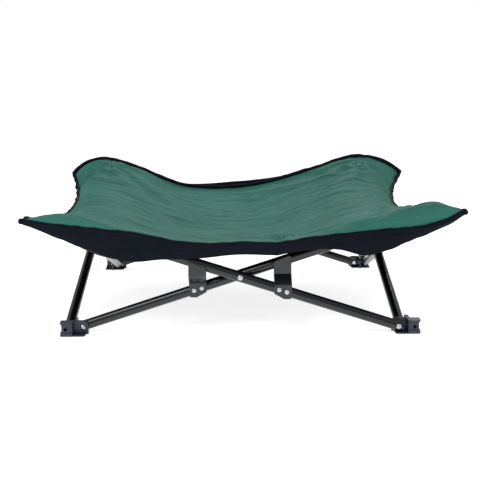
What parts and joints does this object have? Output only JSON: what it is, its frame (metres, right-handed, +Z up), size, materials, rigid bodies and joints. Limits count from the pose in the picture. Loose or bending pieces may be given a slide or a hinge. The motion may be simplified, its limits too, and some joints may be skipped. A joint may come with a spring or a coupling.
{
  "type": "dog bed with folding frame",
  "caption": "Raised pet cot: crossed steel leg tubes hinged in corner mouldings, folding as one, with a sagging padded mat hung from the top corners.",
  "frame": {"origin": "on the floor under the middle of the opened cot", "axes": "+Z up, -Y the front side, +X to the right seen from the front"},
  "size_m": [0.8, 0.6736, 0.2689],
  "materials": {
    "tube": "semi-gloss black powder coat",
    "end_plug": "black moulded plastic",
    "corner_moulding": "black moulded plastic",
    "rivet": "zinc plated",
    "stop_bracket": "black painted pressed plate",
    "washer": "black nylon",
    "pad_cloth": "green padded cloth",
    "edge_binding": "black woven tape",
    "sling_cloth": "black oxford cloth"
  },
  "bodies": {
    "leg_front_inner": {"tube_front_inner": "tube", "end_plugs_front_inner": "end_plug", "hinge_rivets_front_inner": "rivet", "stop_bracket_front_inner": "stop_bracket", "bracket_rivets_front_inner": "rivet", "pivot_rivet_front": "rivet", "pivot_washer_front": "washer"},
    "leg_front_outer": {"tube_front_outer": "tube", "end_plugs_front_outer": "end_plug", "hinge_rivets_front_outer": "rivet", "stop_bracket_front_outer": "stop_bracket", "bracket_rivets_front_outer": "rivet"},
    "leg_right_inner": {"tube_right_inner": "tube", "end_plugs_right_inner": "end_plug", "hinge_rivets_right_inner": "rivet", "pivot_rivet_right": "rivet", "pivot_washer_right": "washer"},
    "leg_right_outer": {"tube_right_outer": "tube", "end_plugs_right_outer": "end_plug", "hinge_rivets_right_outer": "rivet"},
    "leg_back_inner": {"tube_back_inner": "tube", "end_plugs_back_inner": "end_plug", "hinge_rivets_back_inner": "rivet", "stop_bracket_back_inner": "stop_bracket", "bracket_rivets_back_inner": "rivet", "pivot_rivet_back": "rivet", "pivot_washer_back": "washer"},
    "leg_back_outer": {"tube_back_outer": "tube", "end_plugs_back_outer": "end_plug", "hinge_rivets_back_outer": "rivet", "stop_bracket_back_outer": "stop_bracket", "bracket_rivets_back_outer": "rivet"},
    "leg_left_inner": {"tube_left_inner": "tube", "end_plugs_left_inner": "end_plug", "hinge_rivets_left_inner": "rivet", "pivot_rivet_left": "rivet", "pivot_washer_left": "washer"},
    "leg_left_outer": {"tube_left_outer": "tube", "end_plugs_left_outer": "end_plug", "hinge_rivets_left_outer": "rivet"},
    "base_front_left": {"foot_front_left": "corner_moulding"},
    "top_front_left": {"top_hub_front_left": "corner_moulding", "corner_pocket_front_left": "sling_cloth", "pad": "pad_cloth", "edge_binding": "edge_binding", "sling_cloth": "sling_cloth", "border_band_front": "sling_cloth", "border_band_back": "sling_cloth"},
    "base_front_right": {"foot_front_right": "corner_moulding"},
    "top_front_right": {"top_hub_front_right": "corner_moulding", "corner_pocket_front_right": "sling_cloth"},
    "base_back_right": {"foot_back_right": "corner_moulding"},
    "top_back_right": {"top_hub_back_right": "corner_moulding", "corner_pocket_back_right": "sling_cloth"},
    "base_back_left": {"foot_back_left": "corner_moulding"},
    "top_back_left": {"top_hub_back_left": "corner_moulding", "corner_pocket_back_left": "sling_cloth"}
  },
  "joints": [
    {"name": "fold", "type": "hinge", "parent": "base_front_left", "child": "leg_front_inner", "pos_m": [-0.2877, -0.2945, 0.0125], "axis": [0, -1, 0], "range_deg": [0, 65.8], "deforming": ["pad", "edge_binding", "sling_cloth", "border_band_front", "border_band_back"]},
    {"name": "cross_front", "type": "hinge", "parent": "leg_front_inner", "child": "leg_front_outer", "pos_m": [0, -0.3045, 0.10565], "axis": [0, -1, 0], "range_deg": [-131.6, 0]},
    {"name": "foot_hinge_front_right", "type": "hinge", "parent": "leg_front_outer", "child": "base_front_right", "pos_m": [0.2877, -0.3145, 0.0125], "axis": [0, -1, 0], "range_deg": [0, 65.8]},
    {"name": "top_hinge_front_left", "type": "hinge", "parent": "leg_front_outer", "child": "top_front_left", "pos_m": [-0.2877, -0.3145, 0.1988], "axis": [0, -1, 0], "range_deg": [0, 65.8], "deforming": ["corner_pocket_front_left"]},
    {"name": "top_hinge_front_right", "type": "hinge", "parent": "leg_front_inner", "child": "top_front_right", "pos_m": [0.2877, -0.2945, 0.1988], "axis": [0, -1, 0], "range_deg": [-65.8, 0], "deforming": ["corner_pocket_front_right"]},
    {"name": "fold_right", "type": "hinge", "parent": "base_front_right", "child": "leg_right_inner", "pos_m": [0.2945, -0.2877, 0.0125], "axis": [1, 0, 0], "range_deg": [0, 65.8]},
    {"name": "cross_right", "type": "hinge", "parent": "leg_right_inner", "child": "leg_right_outer", "pos_m": [0.3045, 0, 0.10565], "axis": [1, 0, 0], "range_deg": [-131.6, 0]},
    {"name": "foot_hinge_back_right", "type": "hinge", "parent": "leg_right_outer", "child": "base_back_right", "pos_m": [0.3145, 0.2877, 0.0125], "axis": [1, 0, 0], "range_deg": [0, 65.8]},
    {"name": "top_hinge_back_right", "type": "hinge", "parent": "leg_right_inner", "child": "top_back_right", "pos_m": [0.2945, 0.2877, 0.1988], "axis": [1, 0, 0], "range_deg": [-65.8, 0], "deforming": ["corner_pocket_back_right"]},
    {"name": "fold_left", "type": "hinge", "parent": "base_front_left", "child": "leg_left_outer", "pos_m": [-0.3145, -0.2877, 0.0125], "axis": [-1, 0, 0], "range_deg": [-65.8, 0]},
    {"name": "cross_left", "type": "hinge", "parent": "leg_left_outer", "child": "leg_left_inner", "pos_m": [-0.3045, 0, 0.10565], "axis": [-1, 0, 0], "range_deg": [0, 131.6]},
    {"name": "foot_hinge_back_left", "type": "hinge", "parent": "leg_left_inner", "child": "base_back_left", "pos_m": [-0.2945, 0.2877, 0.0125], "axis": [-1, 0, 0], "range_deg": [-65.8, 0]},
    {"name": "top_hinge_back_left", "type": "hinge", "parent": "leg_left_outer", "child": "top_back_left", "pos_m": [-0.3145, 0.2877, 0.1988], "axis": [-1, 0, 0], "range_deg": [0, 65.8], "deforming": ["corner_pocket_back_left"]},
    {"name": "fold_back", "type": "hinge", "parent": "base_back_left", "child": "leg_back_outer", "pos_m": [-0.2877, 0.3145, 0.0125], "axis": [0, 1, 0], "range_deg": [-65.8, 0]},
    {"name": "cross_back", "type": "hinge", "parent": "leg_back_outer", "child": "leg_back_inner", "pos_m": [0, 0.3045, 0.10565], "axis": [0, 1, 0], "range_deg": [0, 131.6]}
  ],
  "couplings": [
    {"joint": "cross_front", "follows": "fold", "ratio": -2},
    {"joint": "foot_hinge_front_right", "follows": "fold", "ratio": 1},
    {"joint": "top_hinge_front_left", "follows": "fold", "ratio": 1},
    {"joint": "top_hinge_front_right", "follows": "fold", "ratio": -1},
    {"joint": "fold_right", "follows": "fold", "ratio": 1},
    {"joint": "cross_right", "follows": "fold", "ratio": -2},
    {"joint": "foot_hinge_back_right", "follows": "fold", "ratio": 1},
    {"joint": "top_hinge_back_right", "follows": "fold", "ratio": -1},
    {"joint": "fold_left", "follows": "fold", "ratio": -1},
    {"joint": "cross_left", "follows": "fold", "ratio": 2},
    {"joint": "foot_hinge_back_left", "follows": "fold", "ratio": -1},
    {"joint": "top_hinge_back_left", "follows": "fold", "ratio": 1},
    {"joint": "fold_back", "follows": "fold", "ratio": -1},
    {"joint": "cross_back", "follows": "fold", "ratio": 2}
  ]
}
